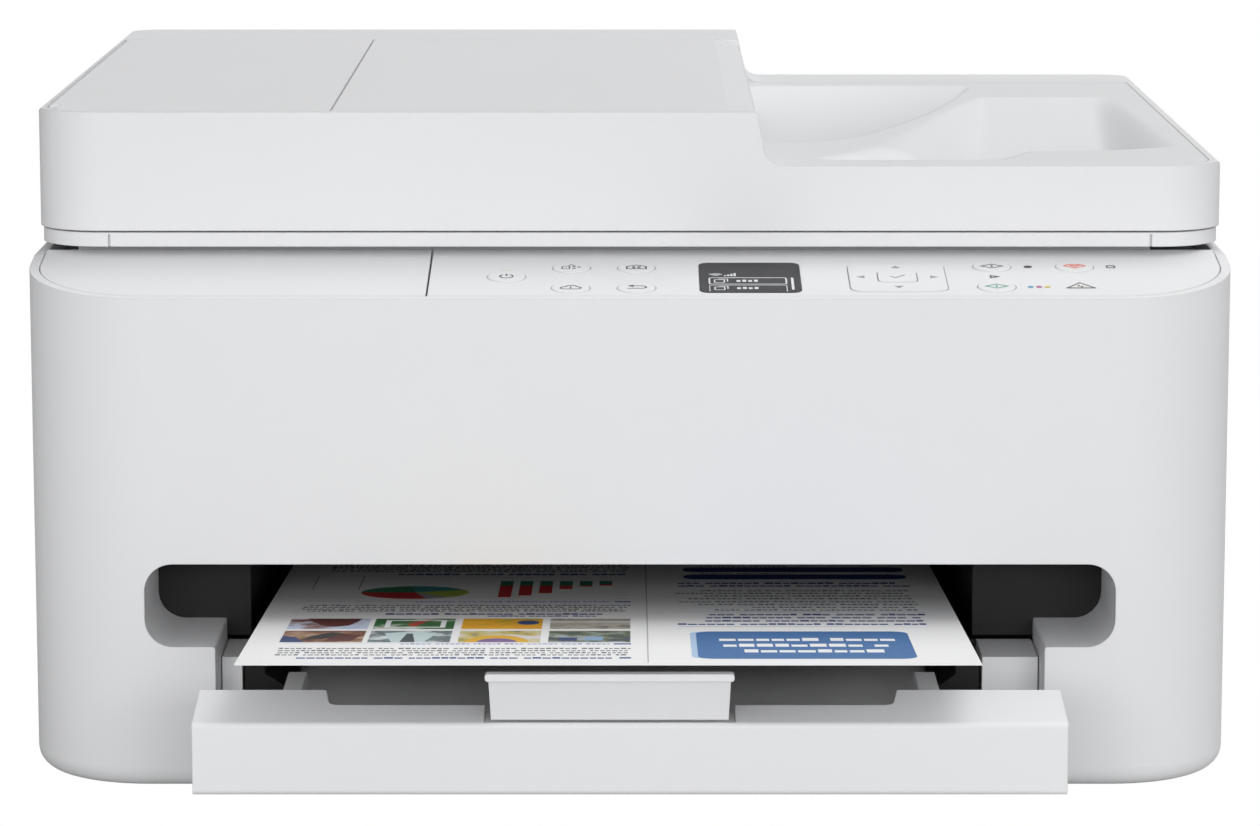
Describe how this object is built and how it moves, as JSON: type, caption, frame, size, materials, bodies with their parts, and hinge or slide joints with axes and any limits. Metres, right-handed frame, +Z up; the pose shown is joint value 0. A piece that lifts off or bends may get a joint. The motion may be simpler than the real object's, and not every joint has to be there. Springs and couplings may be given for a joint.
{
  "type": "inkjet printer",
  "caption": "Desktop all-in-one inkjet printer with document feeder, flatbed scanner, sloping control deck and front paper cassette.",
  "frame": {"origin": "middle of the whole object's footprint, on the surface it stands on, with the cassette and page out as in use", "axes": "+X to the printer's right seen from the front, +Y to its back, +Z up"},
  "size_m": [0.376, 0.459, 0.21],
  "materials": {
    "shell_white": "fine textured white moulded plastic",
    "dish_white": "smooth white moulded plastic",
    "engine_black": "black moulded plastic",
    "engine_grey": "grey moulded plastic",
    "display_grey": "dark display window with pale icons",
    "lamp": "clear lamp lens",
    "steel": "bright zinc plated steel",
    "rubber": "black rubber",
    "glass": "clear flat glass",
    "foam": "white foam backed sheet",
    "board": "green circuit board",
    "ink_black": "black cartridge plastic",
    "ink_colour": "dark blue grey cartridge plastic",
    "page": null,
    "belt": "ribbed black belt"
  },
  "bodies": {
    "printer_body": {"front_casing": "shell_white", "bottom_pan": "shell_white", "rear_panel": "shell_white", "left_top_panel": "shell_white", "control_panel": "shell_white", "display_window": "display_grey", "indicator_lamps": "lamp", "output_bezel": "shell_white", "exit_liner": "engine_black", "upper_frame": "engine_grey", "main_chassis": "steel", "carriage_rod": "steel", "platen": "engine_black", "star_wheel_bar": "engine_black", "power_supply": "engine_grey", "main_board": "board", "rear_sockets": "engine_black", "rubber_feet": "rubber", "case_screws": "steel", "drive_motors": "steel", "purge_unit": "engine_black", "timing_belt": "belt", "scanner_hinge_brackets": "steel"},
    "print_carriage": {"print_carriage": "engine_black", "black_cartridge": "ink_black", "colour_cartridge": "ink_colour"},
    "feed_roller": {"feed_roller": "rubber"},
    "exit_roller": {"exit_roller": "rubber"},
    "pickup_roller": {"pickup_roller": "rubber"},
    "rear_cover": {"rear_cover": "shell_white"},
    "power_button": {"power_button": "shell_white"},
    "code_button": {"code_button": "shell_white"},
    "wireless_button": {"wireless_button": "shell_white"},
    "home_button": {"home_button": "shell_white"},
    "back_button": {"back_button": "shell_white"},
    "start_black_button": {"start_black_button": "shell_white"},
    "start_colour_button": {"start_colour_button": "shell_white"},
    "stop_button": {"stop_button": "shell_white"},
    "nav_pad": {"nav_pad": "shell_white"},
    "ok_button": {"ok_button": "shell_white"},
    "cassette": {"cassette_tray": "shell_white", "cassette_cover": "engine_black"},
    "cassette_extension": {"cassette_extension": "shell_white"},
    "output_stopper": {"output_stopper": "shell_white"},
    "paper_guide_left": {"paper_guide_left": "engine_black"},
    "paper_guide_right": {"paper_guide_right": "engine_black"},
    "printed_page": {"printed_page": "page"},
    "scanner_unit": {"scanner_base": "shell_white", "scanner_glass": "glass", "scanner_hinge_pins": "steel"},
    "scan_carriage": {"scan_carriage": "engine_black"},
    "document_cover": {"adf_housing": "shell_white", "output_dish": "dish_white", "lid_pad": "foam", "lid_hinge_pins": "steel"},
    "feeder_cover": {"feeder_cover": "shell_white"},
    "document_tray": {"document_tray": "shell_white"},
    "document_guide_front": {"document_guide_front": "engine_grey"},
    "document_guide_rear": {"document_guide_rear": "engine_grey"},
    "adf_pick_roller": {"adf_pick_roller": "rubber"}
  },
  "joints": [
    {"name": "scanner_lift", "type": "hinge", "parent": "printer_body", "child": "scanner_unit", "pos_m": [0, 0.2225, 0.168], "axis": [-1, 0, 0], "range_deg": [0, 40]},
    {"name": "document_cover_lift", "type": "hinge", "parent": "scanner_unit", "child": "document_cover", "pos_m": [0, 0.2255, 0.1744], "axis": [-1, 0, 0], "range_deg": [0, 70]},
    {"name": "feeder_cover_open", "type": "hinge", "parent": "document_cover", "child": "feeder_cover", "pos_m": [-0.1842, 0, 0.2085], "axis": [0, -1, 0], "range_deg": [0, 75]},
    {"name": "document_tray_open", "type": "hinge", "parent": "document_cover", "child": "document_tray", "pos_m": [0.0386, 0, 0.2072], "axis": [0, 1, 0], "range_deg": [0, 120]},
    {"name": "document_guide_front_slide", "type": "slide", "parent": "document_cover", "child": "document_guide_front", "axis": [0, 1, 0], "range_m": [0, 0.08]},
    {"name": "document_guide_rear_slide", "type": "slide", "parent": "document_cover", "child": "document_guide_rear", "axis": [0, -1, 0], "range_m": [0, 0.08]},
    {"name": "adf_pick_spin", "type": "hinge", "parent": "document_cover", "child": "adf_pick_roller", "pos_m": [-0.12, 0, 0.195], "axis": [0, 1, 0], "continuous": true},
    {"name": "scan_carriage_travel", "type": "slide", "parent": "scanner_unit", "child": "scan_carriage", "axis": [1, 0, 0], "range_m": [0, 0.31]},
    {"name": "print_carriage_travel", "type": "slide", "parent": "printer_body", "child": "print_carriage", "axis": [1, 0, 0], "range_m": [-0.212, 0]},
    {"name": "feed_roller_spin", "type": "hinge", "parent": "printer_body", "child": "feed_roller", "pos_m": [0, 0.1165, 0.0569], "axis": [1, 0, 0], "continuous": true},
    {"name": "exit_roller_spin", "type": "hinge", "parent": "printer_body", "child": "exit_roller", "pos_m": [0, 0.0585, 0.0579], "axis": [1, 0, 0], "continuous": true},
    {"name": "pickup_roller_spin", "type": "hinge", "parent": "printer_body", "child": "pickup_roller", "pos_m": [0, 0.1385, 0.052], "axis": [1, 0, 0], "continuous": true},
    {"name": "rear_cover_open", "type": "hinge", "parent": "printer_body", "child": "rear_cover", "pos_m": [0, 0.228, 0.0315], "axis": [-1, 0, 0], "range_deg": [0, 85]},
    {"name": "cassette_pull", "type": "slide", "parent": "printer_body", "child": "cassette", "axis": [0, -1, 0], "range_m": [0, 0.18]},
    {"name": "cassette_shorten", "type": "slide", "parent": "cassette", "child": "cassette_extension", "axis": [0, 1, 0], "range_m": [0, 0.08]},
    {"name": "output_stopper_fold", "type": "hinge", "parent": "cassette_extension", "child": "output_stopper", "pos_m": [0, -0.2168, 0.0469], "axis": [-1, 0, 0], "range_deg": [0, 90]},
    {"name": "paper_guide_left_slide", "type": "slide", "parent": "cassette_extension", "child": "paper_guide_left", "axis": [1, 0, 0], "range_m": [0, 0.045]},
    {"name": "paper_guide_right_slide", "type": "slide", "parent": "cassette_extension", "child": "paper_guide_right", "axis": [-1, 0, 0], "range_m": [0, 0.045]},
    {"name": "page_feed_out", "type": "slide", "parent": "cassette_extension", "child": "printed_page", "axis": [0, -0.9969, 0.0785], "range_m": [0, 0.15]},
    {"name": "power_button_press", "type": "slide", "parent": "printer_body", "child": "power_button", "axis": [0, 0.1392, -0.9903], "range_m": [0, 0.0006], "stiffness_N_per_m": 600},
    {"name": "code_button_press", "type": "slide", "parent": "printer_body", "child": "code_button", "axis": [0, 0.1392, -0.9903], "range_m": [0, 0.0006], "stiffness_N_per_m": 600},
    {"name": "wireless_button_press", "type": "slide", "parent": "printer_body", "child": "wireless_button", "axis": [0, 0.1392, -0.9903], "range_m": [0, 0.0006], "stiffness_N_per_m": 600},
    {"name": "home_button_press", "type": "slide", "parent": "printer_body", "child": "home_button", "axis": [0, 0.1392, -0.9903], "range_m": [0, 0.0006], "stiffness_N_per_m": 600},
    {"name": "back_button_press", "type": "slide", "parent": "printer_body", "child": "back_button", "axis": [0, 0.1392, -0.9903], "range_m": [0, 0.0006], "stiffness_N_per_m": 600},
    {"name": "start_black_button_press", "type": "slide", "parent": "printer_body", "child": "start_black_button", "axis": [0, 0.1392, -0.9903], "range_m": [0, 0.0006], "stiffness_N_per_m": 600},
    {"name": "start_colour_button_press", "type": "slide", "parent": "printer_body", "child": "start_colour_button", "axis": [0, 0.1392, -0.9903], "range_m": [0, 0.0006], "stiffness_N_per_m": 600},
    {"name": "stop_button_press", "type": "slide", "parent": "printer_body", "child": "stop_button", "axis": [0, 0.1392, -0.9903], "range_m": [0, 0.0006], "stiffness_N_per_m": 600},
    {"name": "nav_pad_press", "type": "slide", "parent": "printer_body", "child": "nav_pad", "axis": [0, 0.1392, -0.9903], "range_m": [0, 0.0006], "stiffness_N_per_m": 600},
    {"name": "ok_button_press", "type": "slide", "parent": "printer_body", "child": "ok_button", "axis": [0, 0.1392, -0.9903], "range_m": [0, 0.0006], "stiffness_N_per_m": 600}
  ],
  "couplings": [
    {"joint": "exit_roller_spin", "follows": "feed_roller_spin", "ratio": 1.25},
    {"joint": "pickup_roller_spin", "follows": "feed_roller_spin", "ratio": 0.5},
    {"joint": "document_guide_rear_slide", "follows": "document_guide_front_slide", "ratio": 1},
    {"joint": "paper_guide_right_slide", "follows": "paper_guide_left_slide", "ratio": 1}
  ]
}
